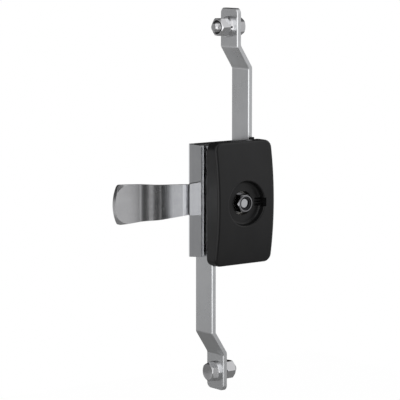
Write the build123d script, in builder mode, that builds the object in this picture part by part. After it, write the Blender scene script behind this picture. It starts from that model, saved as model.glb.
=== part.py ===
"""Three-point rod control with tongue, as fitted inside a cabinet door behind a swing handle.

Frame: X to the right as the cover is seen, Z up, the cover faces -Y. The origin is on the spindle
axis, in the rear face of the housing. Depths toward the cover are written as "forward" distances,
which run along -Y from that face.
"""

import math
import os

from build123d import *

# ---------------------------------------------------------------- driving sizes, mm

# housing: folded steel channel
housing_width = 36.4
housing_height = 66.6
housing_depth = 13.4
sheet = 2.0
housing_bend = 2.6
housing_corner = 0.6
housing_foot_corner = 1.4
exit_relief = 1.2

# rods: flat steel on edge, each with a row of punched windows
rod_width = 16.0
rod_thickness = 3.0
rod_plane = 13.4
rod_back = 3.8
rod_end_plane = 5.0
rod_fold_start = 77.3
rod_fold_end = 90.2
rod_reach = 112.4
rod_tail = 33.4
rod_end_corner = 3.0
rod_bend = 2.2
rod_edge = 0.45
rod_hole = 6.6
rod_hole_from_end = 10.9

# rack and pinion
teeth = 10
window_pitch = 8.4
window_height = 5.0
window_width = 6.4
window_corner = 0.6
window_first = -1
window_last = 3
tooth_tip_radius = 15.4
tooth_root_radius = 10.9
gear_face = 5.4
gear_middle = 8.4
rear_hub_radius = 8.9
front_hub_radius = 8.2
stop_lug_radius = 11.3
stop_lug_half_angle = 12.0
stop_lug_depth = 2.1
stop_pin_height = 3.2
stop_pin_radius = 1.5
stop_pin_circle = 10.7
turn = 90.0

# spindle
stub_square = 8.0
stub_length = 10.0
flange_radius = 10.0
flange_thickness = 2.5
tongue_square = 12.0
journal_radius = 6.0
pinion_square = 8.0
front_journal_radius = 4.0
stud_radius = 3.0
stud_end = 31.0
tapped_radius = 2.1
tapped_depth = 18.0
square_corner = 1.0

# tongue
tongue_thickness = 3.0
tongue_reach = 65.6
tongue_hub_radius = 12.2
tongue_root_half = 8.0
tongue_tip_half = 11.75
tongue_tip_radius = 24.0
tongue_tip_corner = 2.2
tongue_crank = 4.9
tongue_crank_start = 35.5
tongue_crank_end = 48.5
lead_in_centre = 55.4
lead_in_radius = 11.4
lead_in_depth = 2.1
lead_in_run = 2.7

# thrust washer, bushes, front plate
thrust_thickness = 0.6
thrust_radius = 11.0
rear_bush_wall = 1.5
rear_bush_flange = 8.8
front_plate_width = 32.0
front_plate_height = 56.0
front_plate_gap = 0.5
front_bush_wall = 2.0
front_bush_flange = 8.4
front_bush_flange_thickness = 2.3

# plastic guides at the two ends of the channel
guide_inner = 18.6
guide_outer = 31.0
guide_liner_front = 10.5
guide_lip_top = 36.9
guide_lip_depth = 1.5

# cover screws and spacer tubes
screw_x = 6.5
screw_z = 24.0
screw_radius = 1.5
screw_head_radius = 2.8
screw_head_depth = 1.6
screw_length = 28.0
tube_radius = 3.0
tube_bore = 1.7

# cover
cover_width = 41.8
cover_height = 72.0
cover_back = 22.5
cover_end_front = 30.1
cover_mid_front = 33.6
cover_wall = 2.0
cover_corner = 4.6
cover_edge = 1.6
dish_radius = 13.1
dish_floor = 29.3
dish_blend = 1.6
dish_lip = 0.7
nut_well_radius = 7.1
well_collar_back = 25.1
notch_near = 8.6
notch_far = 14.4
notch_height = 5.2
boss_radius = 4.0
key_gap = 0.15
key_front = 28.7
key_foot = 1.4
key_groove = 1.2
key_rib = 1.65

# M6 fasteners
washer_radius = 6.0
washer_bore = 3.2
washer_thickness = 1.6
nut_flats = 10.0
nut_height = 6.2
nut_recess_radius = 4.1
ring_height = 1.6
ring_recess = 0.6
head_height = 4.0
bolt_length = 16.0
spring_washer_radius = 5.1
spring_washer_thickness = 1.1
spring_washer_gap = 1.0

# clearances
running = 0.05
push = 0.02
slide_gap = 0.1
side_gap = 0.1
face_gap = 0.1

# ---------------------------------------------------------------- positions that follow

wall_outer = housing_width / 2
wall_inner = wall_outer - sheet
half_height = housing_height / 2
rod_front = rod_back + rod_width
rod_mid = rod_back + rod_width / 2
rod_near = rod_plane - rod_thickness / 2
rod_far = rod_plane + rod_thickness / 2
plate_back = rod_front + front_plate_gap
plate_front = plate_back + sheet
pitch_radius = window_pitch * teeth / (2 * math.pi)
bolt_z = rod_reach - rod_hole_from_end

thrust_front = -face_gap
thrust_back = thrust_front - thrust_thickness
tongue_front = thrust_back - face_gap
tongue_back = tongue_front - tongue_thickness
flange_back = tongue_back - flange_thickness
stub_back = flange_back - stub_length
rear_bush_front = sheet + 0.9
pinion_back = rear_bush_front + face_gap
pinion_front = plate_back - 2 * face_gap
bush_flange_front = plate_front + front_bush_flange_thickness
shoulder = bush_flange_front + face_gap
centre_washer_front = shoulder + washer_thickness

gear_back = gear_middle - gear_face / 2
gear_front = gear_middle + gear_face / 2


def facing(forward):
    """Sketch plane parallel to the cover, with its normal toward the cover."""
    return Plane.XZ.offset(forward)


def bar(start, end, shape, mode=Mode.ADD):
    """A bar along the spindle direction between two forward distances, from a sketched shape."""
    extrude(shape, amount=end - start, mode=mode)


def disc(start, end, radius, at=((0, 0),), mode=Mode.ADD):
    """Round bars along the spindle direction, centred at the given (x, z) points."""
    with BuildSketch(facing(start)) as face:
        with Locations(*at):
            Circle(radius)
    bar(start, end, face.sketch, mode)


def plate(start, end, width, height, at=((0, 0),), corner=0.0, mode=Mode.ADD):
    """Rectangular bars along the spindle direction, centred at the given (x, z) points."""
    with BuildSketch(facing(start)) as face:
        with Locations(*at):
            if corner > 0:
                RectangleRounded(width, height, corner)
            else:
                Rectangle(width, height)
    bar(start, end, face.sketch, mode)


def export(block, label):
    block.part.label = label
    export_step(block.part, f"parts/{label}.step")


os.makedirs("parts", exist_ok=True)

screw_points = [(x, z) for x in (-screw_x, screw_x) for z in (-screw_z, screw_z)]

# stop pins stand at both ends of the lug's sweep, which is centred on the line below the spindle
pin_half_angle = math.degrees(math.asin((stop_pin_radius + face_gap) / stop_pin_circle))
pin_offset = turn / 2 + stop_lug_half_angle + pin_half_angle
stop_pin_points = [
    (
        stop_pin_circle * math.sin(math.radians(side * pin_offset)),
        -stop_pin_circle * math.cos(math.radians(side * pin_offset)),
    )
    for side in (-1, 1)
]

# ---------------------------------------------------------------- housing

rear_bush_outer = journal_radius + running + rear_bush_wall

with BuildPart() as housing:
    plate(0, housing_depth, housing_width, housing_height)
    fillet(housing.edges().filter_by(Axis.Z).group_by(Axis.Y)[-1], housing_bend)
    plate(
        sheet,
        housing_depth,
        2 * wall_inner,
        housing_height,
        mode=Mode.SUBTRACT,
    )
    fillet(
        housing.edges().filter_by(Axis.Z).filter_by_position(Axis.Y, -sheet - 0.01, -sheet + 0.01),
        max(housing_bend - sheet, 0.2),
    )
    # each wall is relieved toward the front at the end where its rod comes out
    with BuildSketch(Plane.YZ) as relief:
        with BuildLine():
            Polyline(
                (-sheet, -half_height),
                (-housing_depth, -half_height + exit_relief),
                (-housing_depth - 1, -half_height - 1),
                (-sheet, -half_height - 1),
                close=True,
            )
        make_face()
    left_wedge = extrude(relief.sketch, amount=-housing_width, mode=Mode.PRIVATE)
    add(left_wedge, mode=Mode.SUBTRACT)
    add(left_wedge, rotation=(0, 180, 0), mode=Mode.SUBTRACT)
    wall_tips = housing.edges().filter_by(Axis.X).group_by(Axis.Y)[0]
    fillet(wall_tips, housing_corner)
    disc(0, sheet, rear_bush_outer + push, mode=Mode.SUBTRACT)
    disc(0, sheet, screw_radius + 0.15, at=screw_points, mode=Mode.SUBTRACT)
    disc(0, sheet, stop_pin_radius + push, at=stop_pin_points, mode=Mode.SUBTRACT)
    with Locations(*[Location((x, 0, z), (-90, 0, 0)) for x, z in screw_points]):
        CounterSinkHole(
            screw_radius + 0.15, screw_head_radius + 0.15, depth=sheet, counter_sink_angle=80
        )

# ---------------------------------------------------------------- bearings and front plate

with BuildPart() as rear_bush:
    disc(0, sheet, rear_bush_outer)
    disc(sheet, rear_bush_front, rear_bush_flange)
    disc(0, rear_bush_front, journal_radius + running, mode=Mode.SUBTRACT)

with BuildPart() as thrust_washer:
    disc(thrust_back, thrust_front, thrust_radius)
    disc(thrust_back, thrust_front, journal_radius + 3 * running, mode=Mode.SUBTRACT)

front_bush_outer = front_journal_radius + running + front_bush_wall

with BuildPart() as front_plate:
    plate(plate_back, plate_front, front_plate_width, front_plate_height, corner=2.5)
    disc(plate_back, plate_front, front_bush_outer + push, mode=Mode.SUBTRACT)
    disc(plate_back, plate_front, screw_radius + 0.15, at=screw_points, mode=Mode.SUBTRACT)
    chamfer(front_plate.faces().sort_by(Axis.Y)[0].outer_wire().edges(), 0.3)

with BuildPart() as front_bush:
    disc(plate_back, plate_front, front_bush_outer)
    disc(plate_front, bush_flange_front, front_bush_flange)
    disc(plate_back, bush_flange_front, front_journal_radius + running, mode=Mode.SUBTRACT)
    chamfer(
        front_bush.faces().sort_by(Axis.Y)[0].outer_wire().edges(), 0.4
    )

with BuildPart() as stop_pins:
    disc(0, sheet + stop_pin_height, stop_pin_radius, at=stop_pin_points)
    chamfer(stop_pins.edges().filter_by(GeomType.CIRCLE).group_by(Axis.Y)[0], 0.3)

with BuildPart() as spacer_tubes:
    disc(sheet, plate_back, tube_radius, at=screw_points)
    disc(sheet, plate_back, tube_bore, at=screw_points, mode=Mode.SUBTRACT)

with BuildPart() as cover_screws:
    with BuildSketch(Plane.XY) as screw_half:
        with BuildLine():
            Polyline(
                (0, 0),
                (screw_head_radius, 0),
                (screw_radius, -screw_head_depth),
                (screw_radius, -screw_length + 1.2),
                (0.6, -screw_length),
                (0, -screw_length),
                close=True,
            )
        make_face()
    revolve(screw_half.sketch, axis=Axis.Y, mode=Mode.ADD)
    one_screw = cover_screws.part
    recess = 1.1
    with BuildSketch(Plane.XZ) as drive:
        Rectangle(3.0, 0.8)
        Rectangle(0.8, 3.0)
    extrude(drive.sketch, amount=recess, mode=Mode.SUBTRACT)
screw_shape = cover_screws.part
with BuildPart() as cover_screws:
    with Locations(*[(x, 0, z) for x, z in screw_points]):
        add(screw_shape)

# ---------------------------------------------------------------- spindle

with BuildPart() as drive_spindle:
    plate(stub_back, flange_back, stub_square, stub_square, corner=0.6)
    chamfer(drive_spindle.faces().sort_by(Axis.Y)[-1].edges(), 0.5)
    disc(flange_back, tongue_back, flange_radius)
    plate(tongue_back, tongue_front, tongue_square, tongue_square, corner=square_corner)
    disc(tongue_front, pinion_back, journal_radius)
    plate(pinion_back, pinion_front, pinion_square, pinion_square, corner=0.5)
    disc(pinion_front, shoulder, front_journal_radius)
    disc(shoulder, stud_end, stud_radius)
    chamfer(drive_spindle.faces().sort_by(Axis.Y)[0].edges(), 0.5)
    disc(stub_back, stub_back + tapped_depth, tapped_radius, mode=Mode.SUBTRACT)
    flange_edges = drive_spindle.edges().filter_by(GeomType.CIRCLE).filter_by(
        lambda edge: abs(edge.radius - flange_radius) < 0.01
    )
    chamfer(flange_edges, 0.4)

# ---------------------------------------------------------------- pinion

tooth_shape = [
    (tooth_root_radius - 1.5, 1.75),
    (12.2, 1.7),
    (13.4, 1.95),
    (14.3, 1.95),
    (tooth_tip_radius - 0.35, 1.65),
    (tooth_tip_radius, 1.15),
]

with BuildPart() as pinion:
    disc(gear_back, gear_front, tooth_root_radius)
    with BuildSketch(facing(gear_back)) as tooth:
        with PolarLocations(0, teeth):
            Polygon(
                *[(r, -t) for r, t in tooth_shape],
                *[(r, t) for r, t in reversed(tooth_shape)],
                align=None,
            )
    extrude(tooth.sketch, amount=gear_face)
    disc(pinion_back, gear_back, rear_hub_radius)
    disc(gear_front, pinion_front, front_hub_radius)
    with BuildSketch(facing(pinion_back + 0.2)) as lug:
        with BuildLine():
            lug_half = math.radians(stop_lug_half_angle)
            lug_start = -math.pi / 2 + math.radians(turn / 2)
            inner = rear_hub_radius - 1.5
            ends = [
                (radius * math.cos(lug_start + side * lug_half), radius * math.sin(lug_start + side * lug_half))
                for radius, side in ((inner, -1), (stop_lug_radius, -1), (stop_lug_radius, 1), (inner, 1))
            ]
            middle = (stop_lug_radius * math.cos(lug_start), stop_lug_radius * math.sin(lug_start))
            Line(ends[0], ends[1])
            ThreePointArc(ends[1], middle, ends[2])
            Line(ends[2], ends[3])
            Line(ends[3], ends[0])
        make_face()
    extrude(lug.sketch, amount=stop_lug_depth)
    plate(
        pinion_back,
        pinion_front,
        pinion_square + running,
        pinion_square + running,
        corner=0.5,
        mode=Mode.SUBTRACT,
    )

# ---------------------------------------------------------------- tongue

crank_drop = tongue_crank

with BuildPart() as tongue:
    # side section through the strip, then cut to the outline seen from the front
    with BuildSketch(Plane.XY) as strip:
        with BuildLine() as strip_line:
            start = (tongue_hub_radius + 2, -tongue_front)
            flat = (-tongue_crank_start, -tongue_front)
            low = (-tongue_crank_end, -tongue_front + crank_drop)
            tip = (-tongue_reach - 3, -tongue_front + crank_drop)
            t = tongue_thickness
            Line(start, flat)
            Spline(flat, low, tangents=[(-1, 0), (-1, 0)])
            Line(low, tip)
            Line(tip, (tip[0], tip[1] + t))
            Line((tip[0], tip[1] + t), (low[0] + 0.6, low[1] + t))
            Spline((low[0] + 0.6, low[1] + t), (flat[0] + 0.6, flat[1] + t), tangents=[(1, 0), (1, 0)])
            Line((flat[0] + 0.6, flat[1] + t), (start[0], start[1] + t))
            Line((start[0], start[1] + t), start)
        make_face()
    extrude(strip.sketch, amount=2 * tongue_hub_radius, both=True)
    back = tongue_back - crank_drop - 1
    with BuildSketch(facing(back)) as outline:
        with BuildLine():
            sag = tongue_tip_radius - math.sqrt(tongue_tip_radius**2 - tongue_tip_half**2)
            corner_x = -tongue_reach + sag
            Line((0, tongue_root_half), (corner_x, tongue_tip_half))
            ThreePointArc(
                (corner_x, tongue_tip_half), (-tongue_reach, 0), (corner_x, -tongue_tip_half)
            )
            Line((corner_x, -tongue_tip_half), (0, -tongue_root_half))
            Line((0, -tongue_root_half), (0, tongue_root_half))
        make_face()
        fillet(outline.vertices().group_by(Axis.X)[0], tongue_tip_corner)
        Circle(tongue_hub_radius)
    extrude(outline.sketch, amount=tongue_front - back + 1, mode=Mode.INTERSECT)
    # conical lead-in on the two tip corners, on the face toward the housing
    lead_front = tongue_front - crank_drop
    with BuildSketch(Plane.XY) as ring_half:
        with BuildLine():
            Polyline(
                (lead_in_radius, -lead_front - 2),
                (lead_in_radius, -lead_front),
                (lead_in_radius + lead_in_run, -lead_front + lead_in_depth),
                (lead_in_radius + 9, -lead_front + lead_in_depth * (1 + 6.3 / lead_in_run)),
                (lead_in_radius + 9, -lead_front - 2),
                close=True,
            )
        make_face()
    lead_axis = Axis((-lead_in_centre, 0, 0), (0, 1, 0))
    lead_cut = revolve(
        Pos(-lead_in_centre, 0, 0) * ring_half.sketch, axis=lead_axis, mode=Mode.PRIVATE
    )
    keep_box = Pos(-lead_in_centre - 22 + 3.4, -lead_front, 0) * Box(44, 20, 60, mode=Mode.PRIVATE)
    add(lead_cut & keep_box, mode=Mode.SUBTRACT)
    plate(
        tongue_back - 1,
        tongue_front + 1,
        tongue_square + running,
        tongue_square + running,
        corner=square_corner,
        mode=Mode.SUBTRACT,
    )

# ---------------------------------------------------------------- rods

fold_angle = math.atan2(rod_plane - rod_end_plane, rod_fold_end - rod_fold_start)
half_turn = rod_thickness / 2 * math.tan(fold_angle / 2)


def rod_side(side):
    """Corner points of one broad face of the rod, seen from the front, side +1 away from the middle."""
    shift = side * rod_thickness / 2
    return [
        (rod_plane + shift, -rod_tail),
        (rod_plane + shift, rod_fold_start + side * half_turn),
        (rod_end_plane + shift, rod_fold_end + side * half_turn),
        (rod_end_plane + shift, rod_reach),
    ]


with BuildPart() as upper_rod:
    with BuildSketch(facing(rod_back)) as folded:
        with BuildLine():
            Polyline(*rod_side(1), *reversed(rod_side(-1)), close=True)
        make_face()
        bends = folded.vertices().filter_by_position(
            Axis.Y, rod_fold_start - 3, rod_fold_end + 3
        )
        fillet(bends, rod_bend)
    extrude(folded.sketch, amount=rod_width)
    tip_corners = upper_rod.edges().filter_by(Axis.X).group_by(Axis.Z)[-1]
    fillet(tip_corners, rod_end_corner)
    tail_corners = upper_rod.edges().filter_by(Axis.X).group_by(Axis.Z)[0]
    fillet(tail_corners, rod_end_corner)
    long_edges = upper_rod.faces().sort_by(Axis.Y)[0].edges() + upper_rod.faces().sort_by(Axis.Y)[-1].edges()
    chamfer([edge for edge in long_edges if abs(edge.tangent_at(0.5).Z) > 0.3], rod_edge)
    window_points = [
        (-gear_middle, step * window_pitch) for step in range(window_first, window_last + 1)
    ]
    with BuildSketch(Plane.YZ.offset(rod_near - 1)) as windows:
        with Locations(*window_points):
            RectangleRounded(window_width, window_height, window_corner)
    extrude(windows.sketch, amount=rod_thickness + 2, mode=Mode.SUBTRACT)
    with BuildSketch(Plane.YZ) as bolt_hole:
        with Locations((-rod_mid, bolt_z)):
            Circle(rod_hole / 2)
    extrude(bolt_hole.sketch, amount=rod_plane, mode=Mode.SUBTRACT)

with BuildPart() as lower_rod:
    add(upper_rod.part, rotation=(0, 180, 0))

# ---------------------------------------------------------------- rod guides

slot_near = rod_near - slide_gap
slot_far = rod_far + slide_gap
guide_width = 2 * (wall_inner - side_gap)
guide_mid = (guide_inner + guide_outer) / 2

with BuildPart() as upper_guide:
    plate(
        sheet + 0.05,
        plate_back - 0.05,
        guide_width,
        guide_outer - guide_inner,
        at=((0, guide_mid),),
    )
    corner_edges = upper_guide.edges().filter_by(Axis.Z).group_by(Axis.Y)[-1]
    fillet(corner_edges, 1.0)
    # bridge in front of the passing rod, beyond the edge of the front plate
    bridge_low = front_plate_height / 2 + 0.3
    plate(
        rod_front + 2 * slide_gap,
        plate_front,
        slot_far - slot_near + 2.2,
        guide_outer - bridge_low,
        at=((rod_plane - 0.2, (guide_outer + bridge_low) / 2),),
    )
    plate(
        rod_front + 2 * slide_gap,
        rod_front + 2 * slide_gap + guide_lip_depth,
        rod_thickness,
        guide_lip_top - guide_outer + 0.5,
        at=((rod_plane, (guide_lip_top + guide_outer - 0.5) / 2),),
    )
    for side in (-1, 1):
        plate(
            rod_back - slide_gap,
            rod_front + 2 * slide_gap,
            slot_far - slot_near,
            guide_outer - guide_inner + 2,
            at=((side * rod_plane, guide_mid),),
            mode=Mode.SUBTRACT,
        )
    plate(
        rod_front,
        plate_back,
        slot_far - slot_near,
        bridge_low - guide_inner + 1,
        at=((rod_plane, (bridge_low + guide_inner - 1) / 2),),
        mode=Mode.SUBTRACT,
    )
    plate(
        rod_front,
        plate_back,
        slot_far - slot_near,
        guide_outer - guide_inner + 2,
        at=((-rod_plane, guide_mid),),
        mode=Mode.SUBTRACT,
    )
    for side in (-1, 1):
        plate(
            guide_liner_front,
            plate_back + 1,
            wall_inner - slot_far + 1,
            guide_outer - guide_inner + 2,
            at=((side * (wall_inner + slot_far + 1) / 2, guide_mid),),
            mode=Mode.SUBTRACT,
        )
    upper_screws = [point for point in screw_points if point[1] > 0]
    disc(sheet, plate_front, tube_radius + push, at=upper_screws, mode=Mode.SUBTRACT)
    # relief that keeps the moulding hollow between the screw tubes
    plate(sheet + 2.5, plate_back, 2 * screw_x - 9, 7.5, at=((0, guide_mid),), corner=1.0, mode=Mode.SUBTRACT)

with BuildPart() as lower_guide:
    add(upper_guide.part, rotation=(0, 180, 0))

# ---------------------------------------------------------------- cover


def crown(inset, mode):
    """Trims the cover block to a front face that is bowed along Z, set back by inset."""
    mid, end = -cover_mid_front + inset, -cover_end_front + inset
    half = cover_height / 2
    with BuildSketch(Plane.YZ) as bow:
        with BuildLine():
            ThreePointArc((end, -half), (mid, 0), (end, half))
            Line((end, half), (-cover_back + 1, half))
            Line((-cover_back + 1, half), (-cover_back + 1, -half))
            Line((-cover_back + 1, -half), (end, -half))
        make_face()
    extrude(bow.sketch, amount=cover_width, both=True, mode=mode)


def on_dish_rim(edge):
    """True for the edges where the dish's wall meets the bowed front face."""
    points = [edge.position_at(share) for share in (0.2, 0.5, 0.8)]
    return all(
        abs(math.hypot(point.X, point.Z) - dish_radius) < 0.2 and point.Y < -dish_floor - dish_blend
        for point in points
    )


with BuildPart() as cover_hollow:
    plate(
        cover_back - 1,
        cover_mid_front + 2,
        cover_width - 2 * cover_wall,
        cover_height - 2 * cover_wall,
        corner=cover_corner - cover_wall,
    )
    crown(cover_wall, Mode.INTERSECT)

with BuildPart() as cover:
    plate(cover_back, cover_mid_front + 2, cover_width, cover_height, corner=cover_corner)
    crown(0, Mode.INTERSECT)
    front_rim = cover.edges().filter_by(lambda edge: edge.center().Y < -cover_back - 4).filter_by(
        lambda edge: edge.bounding_box().max.Y < -cover_back - 4
    )
    fillet(front_rim, cover_edge)
    add(cover_hollow.part, mode=Mode.SUBTRACT)
    # drum that carries the dish
    disc(dish_floor - cover_wall, cover_mid_front - cover_wall, dish_radius + cover_wall)
    disc(well_collar_back, dish_floor - cover_wall, nut_well_radius + 1.6)
    # bosses for the four screws
    for x, z in screw_points:
        disc(plate_front, cover_end_front, boss_radius, at=((x, z),))
    with BuildSketch(Plane.XY) as dish_half:
        with BuildLine():
            Polyline(
                (0, -dish_floor),
                (dish_radius - 0.4, -dish_floor),
                (dish_radius, -cover_mid_front),
                (dish_radius, -cover_mid_front - 3),
                (0, -cover_mid_front - 3),
                close=True,
            )
        make_face()
        dish_foot = dish_half.vertices().filter_by_position(
            Axis.X, dish_radius - 0.41, dish_radius - 0.39
        )
        fillet(dish_foot, dish_blend)
    revolve(dish_half.sketch, axis=Axis.Y, mode=Mode.SUBTRACT)
    lip = [edge for edge in cover.edges() if on_dish_rim(edge)]
    fillet(lip, dish_lip)
    disc(well_collar_back - 1, dish_floor + 1, nut_well_radius, mode=Mode.SUBTRACT)
    plate(
        cover_back,
        cover_mid_front + 1,
        notch_far - notch_near,
        notch_height,
        at=(((notch_far + notch_near) / 2, 0),),
        mode=Mode.SUBTRACT,
    )
    disc(cover_back - 1, screw_length + 0.8, screw_radius + push, at=screw_points, mode=Mode.SUBTRACT)

# ---------------------------------------------------------------- M6 hardware


def hexagon(across_flats, turn_angle):
    return RegularPolygon(across_flats / 2, 6, major_radius=False, rotation=turn_angle)


def flat_washer(name):
    """Washer around the spindle direction, seated on forward distance zero."""
    with BuildPart() as block:
        disc(0, washer_thickness, washer_radius)
        disc(0, washer_thickness, washer_bore, mode=Mode.SUBTRACT)
        chamfer(block.faces().sort_by(Axis.Y)[0].outer_wire().edges(), 0.25)
    return block.part


def lock_nut():
    """Hexagon nut seated on forward distance zero, with the pocket of its locking ring at the top."""
    with BuildPart() as block:
        with BuildSketch(facing(0)) as hexagonal:
            hexagon(nut_flats, 0)
        extrude(hexagonal.sketch, amount=nut_height)
        with BuildSketch(Plane.XY) as cone:
            corner = nut_flats / math.sqrt(3)
            with BuildLine():
                Polyline(
                    (0, 0),
                    (nut_flats / 2 * 0.97, 0),
                    (corner + 0.3, -0.55),
                    (corner + 0.3, -nut_height + 1.1),
                    (nut_flats / 2 * 0.95, -nut_height),
                    (0, -nut_height),
                    close=True,
                )
            make_face()
        revolve(cone.sketch, axis=Axis.Y, mode=Mode.INTERSECT)
        disc(-1, nut_height + 1, stud_radius + push, mode=Mode.SUBTRACT)
        disc(nut_height - ring_height - ring_recess, nut_height + 1, nut_recess_radius, mode=Mode.SUBTRACT)
    return block.part


def lock_ring():
    """Plastic locking ring in the nut's pocket."""
    with BuildPart() as block:
        disc(nut_height - ring_height - ring_recess, nut_height - ring_recess, nut_recess_radius - push)
        disc(0, nut_height + 1, stud_radius + push, mode=Mode.SUBTRACT)
    return block.part


def spring_washer():
    """Split spring washer seated on forward distance zero."""
    with BuildPart() as block:
        disc(0, spring_washer_thickness, spring_washer_radius)
        disc(0, spring_washer_thickness, washer_bore, mode=Mode.SUBTRACT)
        plate(
            0,
            spring_washer_thickness,
            spring_washer_radius + 1,
            spring_washer_gap,
            at=(((spring_washer_radius + 1) / 2, 0),),
            mode=Mode.SUBTRACT,
        )
    return block.part


def hexagon_bolt():
    """Bolt whose head rests on forward distance zero and whose shank points backward."""
    with BuildPart() as block:
        with BuildSketch(facing(0)) as hexagonal:
            hexagon(nut_flats, 30)
        extrude(hexagonal.sketch, amount=head_height)
        with BuildSketch(Plane.XY) as cone:
            corner = nut_flats / math.sqrt(3)
            with BuildLine():
                Polyline(
                    (0, 0),
                    (corner + 0.3, 0),
                    (corner + 0.3, -head_height + 0.75),
                    (nut_flats / 2 * 0.95, -head_height),
                    (0, -head_height),
                    close=True,
                )
            make_face()
        revolve(cone.sketch, axis=Axis.Y, mode=Mode.INTERSECT)
        disc(-bolt_length, 0, stud_radius)
        chamfer(block.faces().sort_by(Axis.Y)[-1].edges(), 0.6)
    return block.part


washer_shape = flat_washer("washer")
nut_shape = lock_nut()
ring_shape = lock_ring()
spring_shape = spring_washer()
bolt_shape = hexagon_bolt()

with BuildPart() as centre_washer:
    with Locations((0, -shoulder, 0)):
        add(washer_shape)

with BuildPart() as centre_nut:
    with Locations((0, -centre_washer_front, 0)):
        add(nut_shape)

with BuildPart() as centre_ring:
    with Locations((0, -centre_washer_front, 0)):
        add(ring_shape)

# On each rod end the forward direction of the hardware is turned to lie along X.
end_face_out = rod_end_plane + rod_thickness / 2
end_face_in = rod_end_plane - rod_thickness / 2


def on_rod_end(shape, x, outward):
    """Places hardware made around the spindle direction on the upper rod end's bolt axis."""
    return Pos(x, -rod_mid, bolt_z) * Rot(0, 0, 90 if outward > 0 else -90) * shape


upper_sets = {
    "end_bolt": [on_rod_end(bolt_shape, end_face_out + washer_thickness, 1)],
    "end_washers": [
        on_rod_end(washer_shape, end_face_out, 1),
        on_rod_end(washer_shape, end_face_in, -1),
    ],
    "end_spring_washer": [on_rod_end(spring_shape, end_face_in - washer_thickness, -1)],
    "end_nut": [
        on_rod_end(nut_shape, end_face_in - washer_thickness - spring_washer_thickness, -1)
    ],
    "end_ring": [
        on_rod_end(ring_shape, end_face_in - washer_thickness - spring_washer_thickness, -1)
    ],
}

# ---------------------------------------------------------------- ribbed key in the cover's notch

with BuildPart() as cover_key:
    key_middle = (notch_far + notch_near) / 2
    key_width = notch_far - notch_near - 2 * key_gap
    key_height = notch_height - 2 * key_gap
    plate(plate_front, key_front, key_width, key_height, at=((key_middle, 0),))
    plate(
        plate_front,
        plate_front + key_foot,
        key_width + key_foot / 2,
        key_height + 2 * key_foot,
        at=((key_middle + key_foot / 4, 0),),
    )
    for step in (-1, 0, 1):
        plate(
            key_front - key_groove,
            key_front,
            key_width,
            key_rib / 2,
            at=((key_middle, step * key_rib),),
            mode=Mode.SUBTRACT,
        )

# ---------------------------------------------------------------- export

for label, block in (
    ("housing", housing),
    ("rear_bush", rear_bush),
    ("front_plate", front_plate),
    ("front_bush", front_bush),
    ("stop_pins", stop_pins),
    ("spacer_tubes", spacer_tubes),
    ("cover_screws", cover_screws),
    ("cover", cover),
    ("cover_key", cover_key),
    ("upper_guide", upper_guide),
    ("lower_guide", lower_guide),
    ("drive_spindle", drive_spindle),
    ("thrust_washer", thrust_washer),
    ("tongue", tongue),
    ("pinion", pinion),
    ("centre_washer", centre_washer),
    ("centre_nut", centre_nut),
    ("centre_ring", centre_ring),
    ("upper_rod", upper_rod),
    ("lower_rod", lower_rod),
):
    export(block, label)

for label, shapes in upper_sets.items():
    for end, angle in (("upper", 0), ("lower", 180)):
        with BuildPart() as hardware:
            for shape in shapes:
                add(shape, rotation=(0, angle, 0))
        export(hardware, f"{end}_{label}")
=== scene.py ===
"""Looks of the rod control: finishes, threaded end bolts, studio and camera.

Frame: X to the right as the cover is seen, Z up, the cover faces -Y; the origin is on the spindle
axis in the housing's rear face. Everything is in metres.
"""

import logging
import math
from dataclasses import dataclass, field
from enum import Enum

import bmesh
import bpy
from mathutils import Matrix, Vector


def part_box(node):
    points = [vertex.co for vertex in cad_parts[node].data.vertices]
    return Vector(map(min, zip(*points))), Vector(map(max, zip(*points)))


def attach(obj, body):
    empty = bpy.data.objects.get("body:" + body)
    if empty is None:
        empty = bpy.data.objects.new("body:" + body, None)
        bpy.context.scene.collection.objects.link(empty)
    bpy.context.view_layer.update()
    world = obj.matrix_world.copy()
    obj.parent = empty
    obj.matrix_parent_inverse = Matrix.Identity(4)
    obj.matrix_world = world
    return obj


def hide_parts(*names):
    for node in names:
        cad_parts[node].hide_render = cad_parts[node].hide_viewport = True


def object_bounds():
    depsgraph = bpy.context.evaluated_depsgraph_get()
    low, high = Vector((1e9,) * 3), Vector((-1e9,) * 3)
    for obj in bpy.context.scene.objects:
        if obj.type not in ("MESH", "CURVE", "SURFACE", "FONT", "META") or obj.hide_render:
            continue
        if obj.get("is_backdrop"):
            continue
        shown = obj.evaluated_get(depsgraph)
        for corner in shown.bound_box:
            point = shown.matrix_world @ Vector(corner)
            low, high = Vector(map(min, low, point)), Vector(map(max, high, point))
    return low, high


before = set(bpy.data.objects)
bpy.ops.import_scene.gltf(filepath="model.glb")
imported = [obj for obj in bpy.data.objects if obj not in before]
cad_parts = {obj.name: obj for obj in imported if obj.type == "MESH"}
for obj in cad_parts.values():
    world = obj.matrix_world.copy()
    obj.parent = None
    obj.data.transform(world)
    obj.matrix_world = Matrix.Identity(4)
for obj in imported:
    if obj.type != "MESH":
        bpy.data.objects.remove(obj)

log = logging.getLogger("rod_control")

MM = 0.001

WHITE = (1.0, 1.0, 1.0, 1.0)

Colour = tuple[float, float, float]
Socket = bpy.types.NodeSocket
Tones = tuple[tuple[float, float], ...]


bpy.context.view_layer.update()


class Grain(Enum):
    """Direction in which a metal piece was rolled, drawn or turned."""

    ALONG_X = (60.0, 2600.0, 2600.0)
    ALONG_Y = (2600.0, 60.0, 2600.0)
    ALONG_Z = (2600.0, 2600.0, 60.0)
    CAST = (900.0, 900.0, 900.0)


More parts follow.
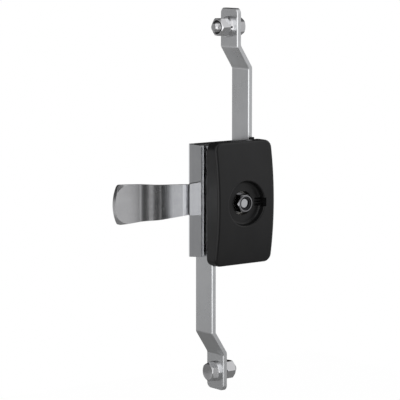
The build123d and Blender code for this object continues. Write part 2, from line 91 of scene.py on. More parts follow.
class NodeSheet:
    """Short calls that add and join shader nodes in one tree."""

    def __init__(self, tree: bpy.types.NodeTree) -> None:
        """Keeps the tree that the calls work on.

        Args:
            tree: A material's, a world's or a group's node tree.
        """
        self.tree = tree

    def add(self, kind: str, **settings: object) -> bpy.types.Node:
        """Adds one node.

        Args:
            kind: Blender's name for the node type.
            settings: Attributes to set on the new node.

        Returns:
            The new node.
        """
        node = self.tree.nodes.new(kind)
        for name, value in settings.items():
            setattr(node, name, value)
        return node

    def feed(self, socket: Socket, source: object) -> None:
        """Links an output to a socket, or sets the socket's own value.

        Args:
            socket: The input to fill.
            source: Another node's output, or a plain value.
        """
        if isinstance(source, Socket):
            self.tree.links.new(source, socket)
        else:
            socket.default_value = source

    def calc(self, operation: str, a: object, b: object = 0.5) -> Socket:
        """Adds a Math node.

        Args:
            operation: Blender's name for the sum.
            a: First number or output.
            b: Second number or output.

        Returns:
            The node's value output.
        """
        node = self.add("ShaderNodeMath", operation=operation)
        self.feed(node.inputs[0], a)
        self.feed(node.inputs[1], b)
        return node.outputs[0]

    def spread(
        self, value: object, low: float, high: float, to_low: float = 0.0, to_high: float = 1.0
    ) -> Socket:
        """Adds a clamped Map Range node.

        Args:
            value: The number or output to map.
            low: Input that gives to_low.
            high: Input that gives to_high.
            to_low: Result at the low end.
            to_high: Result at the high end.

        Returns:
            The mapped output.
        """
        node = self.add("ShaderNodeMapRange", clamp=True)
        for index, item in enumerate((value, low, high, to_low, to_high)):
            self.feed(node.inputs[index], item)
        return node.outputs[0]

    def blend(self, share: object, a: object, b: object) -> Socket:
        """Adds a colour Mix node.

        Args:
            share: How much of b shows, from 0 to 1.
            a: First colour or output.
            b: Second colour or output.

        Returns:
            The mixed colour output.
        """
        node = self.add("ShaderNodeMix", data_type="RGBA")
        self.feed(node.inputs[0], share)
        self.feed(node.inputs[6], a)
        self.feed(node.inputs[7], b)
        return node.outputs[2]

    def noise(self, place: object, scale: object, detail: float = 2.0, rough: float = 0.5) -> Socket:
        """Adds a noise texture.

        Args:
            place: The vector output it is read at.
            scale: Spots per metre, before any stretch.
            detail: Number of finer layers.
            rough: Strength of the finer layers.

        Returns:
            The noise value output.
        """
        node = self.add("ShaderNodeTexNoise")
        self.feed(node.inputs["Vector"], place)
        self.feed(node.inputs["Scale"], scale)
        self.feed(node.inputs["Detail"], detail)
        self.feed(node.inputs["Roughness"], rough)
        return node.outputs[0]

    def stretch(
        self, place: object, scale: object, turn: tuple[float, float, float] = (0, 0, 0)
    ) -> Socket:
        """Adds a Mapping node that stretches and turns a position.

        Args:
            place: The vector output to map.
            scale: Factor along each axis.
            turn: Rotation in radians about each axis.

        Returns:
            The mapped vector output.
        """
        node = self.add("ShaderNodeMapping")
        self.feed(node.inputs["Vector"], place)
        self.feed(node.inputs["Rotation"], turn)
        self.feed(node.inputs["Scale"], scale)
        return node.outputs[0]


def rgba(colour: Colour) -> tuple[float, float, float, float]:
    """Returns a colour with full opacity."""
    return (*colour, 1.0)


class Effects:
    """The shader node groups that several finishes share, each built once."""

    def __init__(self) -> None:
        """Builds the groups."""
        self.edge_wear = self._edge_wear()
        self.metal_grain = self._metal_grain()
        self.handling = self._handling()
        self.dust = self._dust()
        self.mould_texture = self._mould_texture()

    @staticmethod
    def _start(name: str, inputs: dict[str, str], outputs: list[str]) -> tuple:
        """Starts a group.

        Args:
            name: The group's name.
            inputs: Socket names with their socket types.
            outputs: Names of the float outputs.

        Returns:
            The group, its sheet, its input node and its output node.
        """
        group = bpy.data.node_groups.new(name, "ShaderNodeTree")
        for label, kind in inputs.items():
            group.interface.new_socket(name=label, in_out="INPUT", socket_type=kind)
        for label in outputs:
            group.interface.new_socket(name=label, in_out="OUTPUT", socket_type="NodeSocketFloat")
        sheet = NodeSheet(group)
        return group, sheet, sheet.add("NodeGroupInput"), sheet.add("NodeGroupOutput")

    def _edge_wear(self) -> bpy.types.NodeTree:
        """Builds the mask that is 1 on sharp edges and 0 on open faces, broken up by noise.

        Returns:
            The node group.
        """
        group, sheet, given, out = self._start(
            "edge_wear",
            {"Position": "NodeSocketVector", "Width": "NodeSocketFloat", "Spots": "NodeSocketFloat"},
            ["Mask"],
        )
        rounded = sheet.add("ShaderNodeBevel", samples=4)
        sheet.feed(rounded.inputs["Radius"], given.outputs["Width"])
        surface = sheet.add("ShaderNodeNewGeometry")
        dot = sheet.add("ShaderNodeVectorMath", operation="DOT_PRODUCT")
        sheet.feed(dot.inputs[0], rounded.outputs[0])
        sheet.feed(dot.inputs[1], surface.outputs["Normal"])
        edge = sheet.spread(dot.outputs["Value"], 0.995, 0.88)
        patch = sheet.noise(given.outputs["Position"], given.outputs["Spots"], 3.0)
        sheet.feed(out.inputs["Mask"], sheet.calc("MULTIPLY", edge, sheet.spread(patch, 0.3, 0.62)))
        return group

    def _metal_grain(self) -> bpy.types.NodeTree:
        """Builds the fine lines and soft bands that rolling or turning leaves.

        Returns:
            The node group.
        """
        group, sheet, given, out = self._start(
            "metal_grain",
            {"Position": "NodeSocketVector", "Stretch": "NodeSocketVector"},
            ["Line", "Band"],
        )
        drawn = sheet.stretch(given.outputs["Position"], given.outputs["Stretch"])
        sheet.feed(out.inputs["Line"], sheet.noise(drawn, 1.0, 3.0, 0.6))
        sheet.feed(out.inputs["Band"], sheet.noise(drawn, 0.12, 2.0))
        return group

    def _handling(self) -> bpy.types.NodeTree:
        """Builds smudges left by hands, hairline scratches and small pits.

        Returns:
            The node group.
        """
        group, sheet, given, out = self._start(
            "handling", {"Position": "NodeSocketVector"}, ["Smudge", "Scratch", "Pit"]
        )
        place = given.outputs["Position"]
        sheet.feed(out.inputs["Smudge"], sheet.spread(sheet.noise(place, 70.0, 4.0, 0.6), 0.35, 0.7))
        lines = []
        for turn in ((0.3, 0.9, 0.5), (1.1, 0.2, 2.2)):
            drawn = sheet.stretch(place, (900.0, 900.0, 45.0), turn)
            off_middle = sheet.calc("ABSOLUTE", sheet.calc("SUBTRACT", sheet.noise(drawn, 1.0, 1.0), 0.5))
            lines.append(sheet.spread(off_middle, 0.006, 0.0))
        few = sheet.spread(sheet.noise(place, 160.0, 1.0), 0.55, 0.65)
        both = sheet.calc("MAXIMUM", lines[0], lines[1])
        sheet.feed(out.inputs["Scratch"], sheet.calc("MULTIPLY", both, few))
        sheet.feed(out.inputs["Pit"], sheet.spread(sheet.noise(place, 1500.0, 1.0), 0.74, 0.8))
        return group

    def _dust(self) -> bpy.types.NodeTree:
        """Builds the mask that is 1 where fine dust settles: faces that look up, in patches.

        Returns:
            The node group.
        """
        group, sheet, given, out = self._start("dust", {"Position": "NodeSocketVector"}, ["Mask"])
        surface = sheet.add("ShaderNodeNewGeometry")
        axis = sheet.add("ShaderNodeSeparateXYZ")
        sheet.feed(axis.inputs[0], surface.outputs["Normal"])
        up = sheet.spread(axis.outputs["Z"], 0.2, 1.0)
        grains = sheet.spread(sheet.noise(given.outputs["Position"], 2600.0, 2.0), 0.5, 0.7)
        patch = sheet.spread(sheet.noise(given.outputs["Position"], 90.0, 3.0), 0.3, 0.7)
        sheet.feed(out.inputs["Mask"], sheet.calc("MULTIPLY", sheet.calc("MULTIPLY", up, grains), patch))
        return group

    def _mould_texture(self) -> bpy.types.NodeTree:
        """Builds the fine spark-eroded texture and flow marks of a moulding.

        Returns:
            The node group.
        """
        group, sheet, given, out = self._start(
            "mould_texture", {"Position": "NodeSocketVector", "Spots": "NodeSocketFloat"}, ["Height", "Flow"]
        )
        place = given.outputs["Position"]
        cells = sheet.add("ShaderNodeTexVoronoi", feature="SMOOTH_F1")
        sheet.feed(cells.inputs["Vector"], place)
        sheet.feed(cells.inputs["Scale"], given.outputs["Spots"])
        fine = sheet.noise(place, given.outputs["Spots"], 3.0)
        sheet.feed(out.inputs["Height"], sheet.calc("ADD", cells.outputs["Distance"], fine))
        sheet.feed(out.inputs["Flow"], sheet.noise(sheet.stretch(place, (1.0, 1.0, 0.35)), 85.0, 2.0))
        return group


@dataclass(frozen=True)
class Finish:
    """What every finish has: a name and a Principled surface reading the piece's own position."""

    name: str

    def start(self, metallic: float) -> tuple[bpy.types.Material, NodeSheet, bpy.types.Node, Socket]:
        """Starts the material.

        Args:
            metallic: 1 for bare metal, 0 for plastic.

        Returns:
            The material, its sheet, its Principled node and the position output.
        """
        material = bpy.data.materials.new(self.name)
        material.use_nodes = True
        sheet = NodeSheet(material.node_tree)
        shader = material.node_tree.nodes["Principled BSDF"]
        shader.inputs["Metallic"].default_value = metallic
        place = sheet.add("ShaderNodeTexCoord").outputs["Object"]
        return material, sheet, shader, place

    @staticmethod
    def effect(sheet: NodeSheet, group: bpy.types.NodeTree, **values: object) -> bpy.types.Node:
        """Places a shared group in a material.

        Args:
            sheet: The material's sheet.
            group: The shared node group.
            values: Values or outputs for the group's inputs.

        Returns:
            The group node.
        """
        node = sheet.add("ShaderNodeGroup", node_tree=group)
        for label, value in values.items():
            sheet.feed(node.inputs[label], value)
        return node

    @staticmethod
    def relief(sheet: NodeSheet, shader: bpy.types.Node, height: object, depth: float) -> None:
        """Gives the surface its fine relief.

        Args:
            sheet: The material's sheet.
            shader: The Principled node.
            height: Output with the relief, from 0 to 1.
            depth: Height of the relief in metres.
        """
        bump = sheet.add("ShaderNodeBump")
        bump.inputs["Strength"].default_value = 1.0
        bump.inputs["Distance"].default_value = depth
        sheet.feed(bump.inputs["Height"], height)
        sheet.feed(shader.inputs["Normal"], bump.outputs[0])


@dataclass(frozen=True)
class PlatedSteel(Finish):
    """Bright zinc plate over rolled, drawn or turned steel."""

    grain: Grain = Grain.ALONG_Z
    light: Colour = (0.80, 0.81, 0.82)
    dark: Colour = (0.70, 0.71, 0.73)
    bare: Colour = (0.88, 0.88, 0.87)
    roughness: float = 0.1
    roughness_spread: float = 0.06
    relief_depth: float = 1.2e-6
    wear_width: float = 0.5 * MM

    def make(self, effects: Effects) -> bpy.types.Material:
        """Builds the material.

        Args:
            effects: The shared node groups.

        Returns:
            The material.
        """
        material, sheet, shader, place = self.start(1.0)
        grain = self.effect(sheet, effects.metal_grain, Position=place, Stretch=self.grain.value)
        marks = self.effect(sheet, effects.handling, Position=place)
        wear = self.effect(sheet, effects.edge_wear, Position=place, Width=self.wear_width, Spots=420.0)
        mask, scratch = wear.outputs["Mask"], marks.outputs["Scratch"]

        cloud = sheet.noise(place, 110.0, 3.0)
        bands = sheet.spread(grain.outputs["Band"], 0.3, 0.7, 0.0, 0.45)
        tone = sheet.calc("ADD", bands, sheet.spread(cloud, 0.3, 0.7, 0.0, 0.55))
        colour = sheet.blend(tone, rgba(self.dark), rgba(self.light))
        colour = sheet.blend(sheet.calc("MULTIPLY", mask, 0.5), colour, rgba(self.bare))
        sheet.feed(shader.inputs["Base Color"], colour)

        dull = self.roughness + self.roughness_spread
        rough = sheet.spread(marks.outputs["Smudge"], 0.0, 1.0, self.roughness, dull)
        lined = sheet.spread(grain.outputs["Line"], 0.3, 0.7, 0.0, self.roughness_spread * 0.5)
        rough = sheet.calc("ADD", rough, lined)
        rough = sheet.calc("ADD", rough, sheet.calc("MULTIPLY", sheet.calc("MAXIMUM", scratch, mask), 0.08))
        sheet.feed(shader.inputs["Roughness"], rough)

        height = sheet.calc("SUBTRACT", grain.outputs["Line"], sheet.calc("MULTIPLY", scratch, 0.8))
        height = sheet.calc("SUBTRACT", height, sheet.calc("MULTIPLY", marks.outputs["Pit"], 0.9))
        self.relief(sheet, shader, height, self.relief_depth)
        return material


@dataclass(frozen=True)
class OiledSteel(Finish):
    """Bare sintered or turned steel with a thin film of oil in patches."""

    bare: Colour = (0.46, 0.46, 0.45)
    oiled: Colour = (0.30, 0.285, 0.26)
    polished: Colour = (0.7, 0.7, 0.69)
    relief_depth: float = 6e-6

    def make(self, effects: Effects) -> bpy.types.Material:
        """Builds the material.

        Args:
            effects: The shared node groups.

        Returns:
            The material.
        """
        material, sheet, shader, place = self.start(1.0)
        grain = self.effect(sheet, effects.metal_grain, Position=place, Stretch=Grain.CAST.value)
        marks = self.effect(sheet, effects.handling, Position=place)
        wear = self.effect(sheet, effects.edge_wear, Position=place, Width=0.4 * MM, Spots=500.0)
        film = sheet.spread(sheet.noise(place, 130.0, 4.0), 0.4, 0.62)
        colour = sheet.blend(film, rgba(self.bare), rgba(self.oiled))
        colour = sheet.blend(sheet.calc("MULTIPLY", wear.outputs["Mask"], 0.6), colour, rgba(self.polished))
        sheet.feed(shader.inputs["Base Color"], colour)
        sheet.feed(shader.inputs["Roughness"], sheet.spread(film, 0.0, 1.0, 0.42, 0.2))
        pores = sheet.calc("SUBTRACT", grain.outputs["Line"], marks.outputs["Pit"])
        self.relief(sheet, shader, pores, self.relief_depth)
        return material


@dataclass(frozen=True)
class MouldedPlastic(Finish):
    """Injection-moulded plastic with a fine texture, slightly polished edges and a little dust."""

    colour: Colour = (0.006, 0.006, 0.0065)
    flow: Colour = (0.009, 0.009, 0.0095)
    worn: Colour = (0.035, 0.035, 0.037)
    dusty: Colour = (0.12, 0.115, 0.105)
    roughness: float = 0.34
    roughness_spread: float = 0.08
    texture_spots: float = 3600.0
    texture_depth: float = 3e-6
    dust_amount: float = 0.10

    def make(self, effects: Effects) -> bpy.types.Material:
        """Builds the material.

        Args:
            effects: The shared node groups.

        Returns:
            The material.
        """
        material, sheet, shader, place = self.start(0.0)
        mould = self.effect(sheet, effects.mould_texture, Position=place, Spots=self.texture_spots)
        marks = self.effect(sheet, effects.handling, Position=place)
        wear = self.effect(sheet, effects.edge_wear, Position=place, Width=0.45 * MM, Spots=380.0)
        dust = self.effect(sheet, effects.dust, Position=place)
        mask = wear.outputs["Mask"]

        flow = sheet.spread(mould.outputs["Flow"], 0.3, 0.7)
        colour = sheet.blend(flow, rgba(self.colour), rgba(self.flow))
        colour = sheet.blend(sheet.calc("MULTIPLY", mask, 0.35), colour, rgba(self.worn))
        settled = sheet.calc("MULTIPLY", dust.outputs["Mask"], self.dust_amount)
        sheet.feed(shader.inputs["Base Color"], sheet.blend(settled, colour, rgba(self.dusty)))

        dull = self.roughness + self.roughness_spread
        rough = sheet.spread(marks.outputs["Smudge"], 0.0, 1.0, self.roughness, dull)
        rough = sheet.calc("ADD", rough, sheet.calc("MULTIPLY", marks.outputs["Scratch"], 0.08))
        rough = sheet.calc("SUBTRACT", rough, sheet.calc("MULTIPLY", mask, 0.06))
        sheet.feed(shader.inputs["Roughness"], sheet.calc("ADD", rough, sheet.calc("MULTIPLY", settled, 0.5)))
        shader.inputs["IOR"].default_value = 1.5
        self.relief(sheet, shader, mould.outputs["Height"], self.texture_depth)
        return material


def put_on(finish: bpy.types.Material, pieces: list[bpy.types.Object]) -> None:
    """Puts one finish on pieces.

    Args:
        finish: The material.
        pieces: The objects that get it, in every slot they have.
    """
    for piece in pieces:
        piece.data.materials.clear()
        piece.data.materials.append(finish)


def node(name: str) -> bpy.types.Object:
    """Returns one CAD node's object."""
    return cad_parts[name]


@dataclass
class Finishes:
    """Every finish of the part, made once."""

    effects: Effects
    made: dict[str, bpy.types.Material] = field(default_factory=dict)

    def build(self) -> None:
        """Makes the materials from their settings."""
        kinds = (
            PlatedSteel("channel_plating", Grain.ALONG_Z, roughness=0.05, roughness_spread=0.04),
            PlatedSteel(
                "rod_plating",
                Grain.ALONG_Z,
                light=(0.85, 0.86, 0.87),
                dark=(0.79, 0.80, 0.81),
                roughness=0.25,
                relief_depth=0.35e-6,
            ),
            PlatedSteel(
                "tongue_plating",
                Grain.ALONG_X,
                light=(0.86, 0.86, 0.87),
                dark=(0.80, 0.80, 0.81),
                roughness=0.19,
                relief_depth=0.7e-6,
            ),
            PlatedSteel("turned_plating", Grain.ALONG_Y, roughness=0.12),
            PlatedSteel(
                "fastener_plating",
                Grain.CAST,
                light=(0.86, 0.86, 0.87),
                dark=(0.80, 0.80, 0.81),
                roughness=0.06,
                relief_depth=0.7e-6,
            ),
            PlatedSteel(
                "dark_plating",
                Grain.CAST,
                light=(0.36, 0.36, 0.37),
                dark=(0.26, 0.26, 0.27),
                bare=(0.6, 0.6, 0.6),
                roughness=0.16,
            ),
            OiledSteel("oiled_steel"),
            MouldedPlastic("cover_plastic"),
            MouldedPlastic(
                "guide_nylon", colour=(0.008, 0.008, 0.009), roughness=0.48, texture_depth=4e-6
            ),
            MouldedPlastic(
                "ring_nylon", colour=(0.012, 0.012, 0.014), roughness=0.4, texture_depth=2e-6
            ),
            MouldedPlastic(
                "bush_acetal",
                colour=(0.74, 0.73, 0.69),
                flow=(0.78, 0.77, 0.72),
                worn=(0.84, 0.83, 0.79),
                dusty=(0.5, 0.48, 0.44),
                roughness=0.36,
                texture_depth=2e-6,
            ),
        )
        for kind in kinds:
            self.made[kind.name] = kind.make(self.effects)

    def dress(self, finish: str, *names: str) -> None:
        """Puts a finish on CAD nodes.

        Args:
            finish: The finish's name.
            names: The nodes' names.
        """
        put_on(self.made[finish], [node(name) for name in names])
        log.info("%s on %s", finish, ", ".join(names))


@dataclass
class LockCase:
    """The channel with its plate, bearings, guides and screws, and the moulded cover on its front."""

    finishes: Finishes

    def build(self) -> None:
        """Dresses the fixed pieces."""
        self.finishes.dress("channel_plating", "housing", "front_plate")
        self.finishes.dress("turned_plating", "spacer_tubes", "stop_pins")
        self.finishes.dress("fastener_plating", "cover_screws")
        self.finishes.dress("guide_nylon", "upper_guide", "lower_guide", "cover_key")
        self.finishes.dress("bush_acetal", "rear_bush", "front_bush")
        self.finishes.dress("cover_plastic", "cover")


@dataclass
class Drive:
    """The spindle with its tongue, pinion and front nut."""

    finishes: Finishes

    def build(self) -> None:
        """Dresses the turning pieces."""
        self.finishes.dress("turned_plating", "drive_spindle")
        self.finishes.dress("tongue_plating", "tongue")
        self.finishes.dress("oiled_steel", "pinion")
        self.finishes.dress("bush_acetal", "thrust_washer")
        self.finishes.dress("dark_plating", "centre_washer", "centre_nut")
        self.finishes.dress("ring_nylon", "centre_ring")


@dataclass
class ThreadedBolt:
    """A hexagon bolt with a rolled thread, made along +Z from under its head."""

    name: str
    flats: float = 10.0 * MM
    head_height: float = 4.0 * MM
    length: float = 16.0 * MM
    crest: float = 2.98 * MM
    root: float = 2.45 * MM
    pitch: float = 1.0 * MM
    plain: float = 1.5 * MM
    point: float = 0.9 * MM
    head_chamfer: float = 0.75 * MM
    head_face: float = 0.93
    dish_share: float = 0.55
    dish_depth: float = 0.12 * MM
    head_steps: int = 72
    head_turn: float = math.pi / 6
    around: int = 48
    rings_per_turn: int = 10

    def _shank_radius(self, along: float, angle: float) -> float:
        """Works out the thread's surface.

        Args:
            along: Distance from under the head.
            angle: Angle round the bolt in radians.

        Returns:
            The radius there.
        """
        if along < self.plain:
            return self.crest
        share = (along / self.pitch - angle / (2 * math.pi)) % 1.0
        flank = min(abs(share - 0.5) * 2.0, 1.0)
        wave = min(max((flank - 0.12) / 0.72, 0.0), 1.0)
        run_in = min((along - self.plain) / self.pitch, 1.0)
        radius = self.crest - (self.crest - self.root) * (1.0 - wave) * run_in
        lead = self.root - 0.35 * MM + (self.length - along)
        return min(radius, lead) if along > self.length - self.point else radius

    def mesh(self) -> bpy.types.Mesh:
        """Builds the bolt's mesh.

        Returns:
            A closed mesh with the head below zero and the shank above it.
        """
        shape = bmesh.new()
        self._head(shape)
        self._shank(shape)
        made = bpy.data.meshes.new(self.name)
        bmesh.ops.recalc_face_normals(shape, faces=shape.faces)
        shape.to_mesh(made)
        shape.free()
        return made

    def _hexagon_reach(self, angle: float) -> float:
        """Works out how far the head reaches at one angle.

        Args:
            angle: Angle round the bolt in radians.

        Returns:
            The distance from the axis to the hexagon's side.
        """
        sixth = math.pi / 3
        return self.flats / 2 / math.cos(((angle + self.head_turn) % sixth) - sixth / 2)

    @staticmethod
    def _close(shape: bmesh.types.BMesh, rings: list[list[bmesh.types.BMVert]]) -> None:
        """Joins rings of points into a closed skin.

        Args:
            shape: The mesh under construction.
            rings: Rings with equally many points, from one end to the other.
        """
        for low, high in zip(rings, rings[1:]):
            for step in range(len(low)):
                after = (step + 1) % len(low)
                shape.faces.new((low[step], low[after], high[after], high[step]))
        shape.faces.new(rings[0])
        shape.faces.new(rings[-1])

    def _head(self, shape: bmesh.types.BMesh) -> None:
        """Adds the chamfered hexagon head.

        Args:
            shape: The mesh under construction.
        """
        face_radius = self.flats / 2 * self.head_face
        corner = self.flats / 2 / math.cos(math.pi / 6)
        rings = [[], [], [], []]
        for step in range(self.head_steps):
            angle = 2 * math.pi * step / self.head_steps
            side = self._hexagon_reach(angle)
            bevel = self.head_chamfer * (side - face_radius) / (corner - face_radius)
            section = (
                (side, 0.0),
                (side, bevel - self.head_height),
                (face_radius, -self.head_height),
                (face_radius * self.dish_share, self.dish_depth - self.head_height),
            )
            for ring, (radius, along) in zip(rings, section):
                ring.append(shape.verts.new((radius * math.cos(angle), radius * math.sin(angle), along)))
        self._close(shape, rings)

    def _shank(self, shape: bmesh.types.BMesh) -> None:
        """Adds the threaded shank.

        Args:
            shape: The mesh under construction.
        """
        count = round(self.length / self.pitch * self.rings_per_turn)
        rings = []
        for index in range(count + 1):
            along = self.length * index / count
            ring = []
            for step in range(self.around):
                angle = 2 * math.pi * step / self.around
                radius = self._shank_radius(along, angle)
                ring.append(shape.verts.new((radius * math.cos(angle), radius * math.sin(angle), along)))
            rings.append(ring)
        self._close(shape, rings)

    def place(
        self, under_head: Vector, direction: Vector, body: str, finish: bpy.types.Material
    ) -> None:
        """Puts the bolt in the frame and lets it stand for its CAD node.

        Args:
            under_head: Middle of the head's bearing face.
            direction: Unit vector along the shank.
            body: The body it rides on.
            finish: Its material.
        """
        made = self.mesh()
        turn = direction.to_track_quat("Z", "Y").to_matrix().to_4x4()
        made.transform(Matrix.Translation(under_head) @ turn)
        bolt = bpy.data.objects.new(f"{self.name}_threaded", made)
        bpy.context.scene.collection.objects.link(bolt)
        for face in made.polygons:
            face.use_smooth = True
        made.set_sharp_from_angle(angle=math.radians(34))
        put_on(finish, [bolt])
        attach(bolt, body)
        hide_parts(self.name)
        log.info("%s stands for its CAD node", bolt.name)


@dataclass
class RodSet:
    """A flat rod with the bolt, washers, nut and locking ring on its end."""

    end: str
    finishes: Finishes

    def build(self) -> None:
        """Dresses the sliding pieces and makes the threaded bolt."""
        names = [f"{self.end}_{piece}" for piece in ("end_washers", "end_spring_washer", "end_nut")]
        self.finishes.dress("rod_plating", f"{self.end}_rod")
        self.finishes.dress("fastener_plating", *names)
        self.finishes.dress("ring_nylon", f"{self.end}_end_ring")
        bolt_name = f"{self.end}_end_bolt"
        low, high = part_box(bolt_name)
        middle = (low + high) / 2
        bolt = ThreadedBolt(bolt_name)
        nut_low, nut_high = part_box(f"{self.end}_end_nut")
        along = 1.0 if (nut_low + nut_high).x / 2 > middle.x else -1.0
        head_end = low.x if along > 0 else high.x
        under_head = Vector((head_end + along * bolt.head_height, middle.y, middle.z))
        finish = self.finishes.made["fastener_plating"]
        bolt.place(under_head, Vector((along, 0, 0)), f"{self.end}_rod_set", finish)


@dataclass
class Studio:
    """Pale floor, soft lights, the room's dim tones for reflections, and the camera."""

    azimuth: float = -37.5
    elevation: float = 7.5
    distance: float = 1.315
    lens: float = 200.0
    target_right: float = -6.87 * MM
    target_up: float = -1.30 * MM
    floor_drop: float = 120.0 * MM
    floor_half: float = 0.5
    floor_grey: float = 0.25
    floor_roughness: float = 0.9
    floor_glow: float = 1.02
    floor_glow_share: float = 0.97
    ambient: float = 0.55
    low_tones: Tones = (
        (-180.0, 0.85),
        (-168.0, 0.80),
        (-155.0, 0.55),
        (-142.0, 0.27),
        (-128.0, 0.52),
        (-105.0, 0.62),
        (-66.0, 1.20),
        (-43.0, 1.60),
        (-37.0, 0.60),
        (-33.0, 0.06),
        (0.0, 0.05),
        (18.0, 0.12),
        (28.0, 0.42),
        (38.0, 0.48),
        (62.0, 0.72),
        (95.0, 0.80),
        (125.0, 0.45),
        (145.0, 0.33),
        (165.0, 0.42),
        (176.0, 0.82),
    )
    high_tones: Tones = (
        (-180.0, 0.02),
        (-140.0, 0.05),
        (-105.0, 0.35),
        (-62.0, 1.00),
        (-38.0, 1.05),
        (-33.0, 0.40),
        (-28.0, 0.12),
        (14.0, 0.16),
        (32.0, 0.62),
        (80.0, 0.70),
        (108.0, 0.20),
        (132.0, 0.02),
    )

    def _axes(self) -> tuple[Vector, Vector, Vector]:
        """Works out how the camera is turned.

        Returns:
            Its right, up and back directions.
        """
        a, e = math.radians(self.azimuth), math.radians(self.elevation)
        back = Vector((math.sin(a) * math.cos(e), -math.cos(a) * math.cos(e), math.sin(e)))
        right = Vector((math.cos(a), math.sin(a), 0.0))
        return right, back.cross(right), back

    def camera(self) -> None:
        """Places the camera level, at the viewing angle, and makes it the scene's."""
        right, up, back = self._axes()
        data = bpy.data.cameras.new("view")
        data.lens = self.lens
        data.clip_end = 100.0
        camera = bpy.data.objects.new("view", data)
        bpy.context.scene.collection.objects.link(camera)
        turn = Matrix((right, up, back)).transposed().to_4x4()
        target = right * self.target_right + up * self.target_up
        camera.matrix_world = Matrix.Translation(target + back * self.distance) @ turn
        bpy.context.scene.camera = camera

    def floor(self) -> None:
        """Lays the floor below the object, close to white for the camera and grey in reflections."""
        low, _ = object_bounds()
        level = low[2] - self.floor_drop
        mesh = bpy.data.meshes.new("floor")
        signs = ((-1, -1), (1, -1), (1, 1), (-1, 1))
        corners = [(x * self.floor_half, y * self.floor_half, level) for x, y in signs]
        mesh.from_pydata(corners, [], [(0, 1, 2, 3)])
        floor = bpy.data.objects.new("floor", mesh)
        bpy.context.scene.collection.objects.link(floor)
        material = bpy.data.materials.new("pale_floor")
        material.use_nodes = True
        sheet = NodeSheet(material.node_tree)
        shader = material.node_tree.nodes["Principled BSDF"]
        shader.inputs["Base Color"].default_value = rgba((self.floor_grey,) * 3)
        shader.inputs["Roughness"].default_value = self.floor_roughness
        glow = sheet.add("ShaderNodeEmission")
        glow.inputs["Strength"].default_value = self.floor_glow
        path = sheet.add("ShaderNodeLightPath")
        share = sheet.calc("MULTIPLY", path.outputs["Is Camera Ray"], self.floor_glow_share)
        mix = sheet.add("ShaderNodeMixShader")
        sheet.feed(mix.inputs[0], share)
        sheet.feed(mix.inputs[1], shader.outputs[0])
        sheet.feed(mix.inputs[2], glow.outputs[0])
        sheet.feed(material.node_tree.nodes["Material Output"].inputs["Surface"], mix.outputs[0])
        put_on(material, [floor])
        floor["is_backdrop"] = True

    @staticmethod
    def _tone_ring(sheet: NodeSheet, share: object, tones: Tones) -> Socket:
        """Makes the room's tones round the object at one height.

        Args:
            sheet: The world's sheet.
            share: Output with the direction, from 0 at the back round to 1.
            tones: Pairs of azimuth in degrees and tone.

        Returns:
            The colour output.
        """
        ramp = sheet.add("ShaderNodeValToRGB")
        ramp.color_ramp.interpolation = "EASE"
        stops = ramp.color_ramp.elements
        stops.remove(stops[1])
        for index, (degrees, tone) in enumerate(tones):
            place = (degrees + 180.0) / 360.0
            stop = stops.new(place) if index else stops[0]
            stop.position = place
            stop.color = (tone, tone, tone * 1.01, 1.0)
        last = stops.new(1.0)
        last.color = stops[0].color[:]
        sheet.feed(ramp.inputs[0], share)
        return ramp.outputs[0]

    def world(self) -> None:
        """Makes the surroundings: white to the camera, soft tones round about for reflections."""
        world = bpy.data.worlds.new("studio")
        bpy.context.scene.world = world
        world.use_nodes = True
        world.node_tree.nodes.clear()
        sheet = NodeSheet(world.node_tree)
        direction = sheet.add("ShaderNodeTexCoord").outputs["Generated"]
        axis = sheet.add("ShaderNodeSeparateXYZ")
        sheet.feed(axis.inputs[0], direction)
        forward = sheet.calc("MULTIPLY", axis.outputs["Y"], -1.0)
        angle = sheet.calc("ARCTAN2", axis.outputs["X"], forward)
        share = sheet.spread(angle, -math.pi, math.pi)
        low = self._tone_ring(sheet, share, self.low_tones)
        high = self._tone_ring(sheet, share, self.high_tones)
        tones = sheet.blend(sheet.spread(axis.outputs["Z"], -0.04, 0.09), low, high)
        path = sheet.add("ShaderNodeLightPath")
        surround = sheet.blend(path.outputs["Is Glossy Ray"], rgba((self.ambient,) * 3), tones)
        white = sheet.calc("MAXIMUM", path.outputs["Is Camera Ray"], path.outputs["Is Transmission Ray"])
        colour = sheet.blend(white, surround, WHITE)
        back = sheet.add("ShaderNodeBackground")
        sheet.feed(back.inputs["Color"], colour)
        out = sheet.add("ShaderNodeOutputWorld")
        sheet.feed(out.inputs["Surface"], back.outputs[0])

    @staticmethod
    def softbox(
        name: str, azimuth: float, elevation: float, away: float, size: float, power: float
    ) -> None:
        """Hangs one soft square light that faces the object.

        Args:
            name: The light's name.
            azimuth: Direction seen from the object, in degrees from the front.
            elevation: Height of that direction in degrees.
            away: Distance from the spindle in metres.
            size: Side of the square in metres.
            power: Power in watts.
        """
        a, e = math.radians(azimuth), math.radians(elevation)
        out = Vector((math.sin(a) * math.cos(e), -math.cos(a) * math.cos(e), math.sin(e)))
        data = bpy.data.lights.new(name, "AREA")
        data.shape = "SQUARE"
        data.size = size
        data.energy = power
        light = bpy.data.objects.new(name, data)
        turn = out.to_track_quat("Z", "Y").to_matrix().to_4x4()
        light.matrix_world = Matrix.Translation(out * away) @ turn
        light.visible_glossy = False
        light.visible_camera = False
        bpy.context.scene.collection.objects.link(light)

    def build(self) -> None:
        """Sets up camera, floor, surroundings and lights."""
        bpy.context.scene.view_settings.view_transform = "Standard"
        self.camera()
        self.floor()
        self.world()
        self.softbox("key", 48.0, 28.0, 1.1, 0.9, 5.0)
        self.softbox("fill", -80.0, 20.0, 1.2, 1.0, 2.0)
        log.info("studio ready")


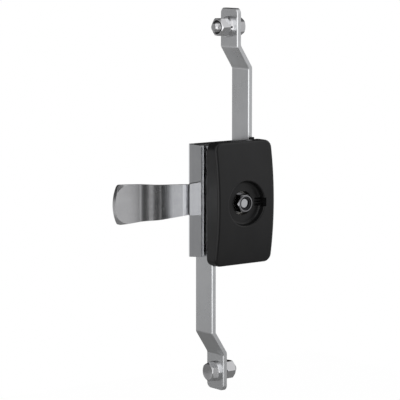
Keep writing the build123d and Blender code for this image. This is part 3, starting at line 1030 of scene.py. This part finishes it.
def main() -> None:
    """Builds the part's looks in order."""
    logging.basicConfig(level=logging.INFO, format="%(message)s")
    Studio().build()
    finishes = Finishes(Effects())
    finishes.build()
    LockCase(finishes).build()
    Drive(finishes).build()
    for end in ("upper", "lower"):
        RodSet(end, finishes).build()


if __name__ == "__main__":
    main()
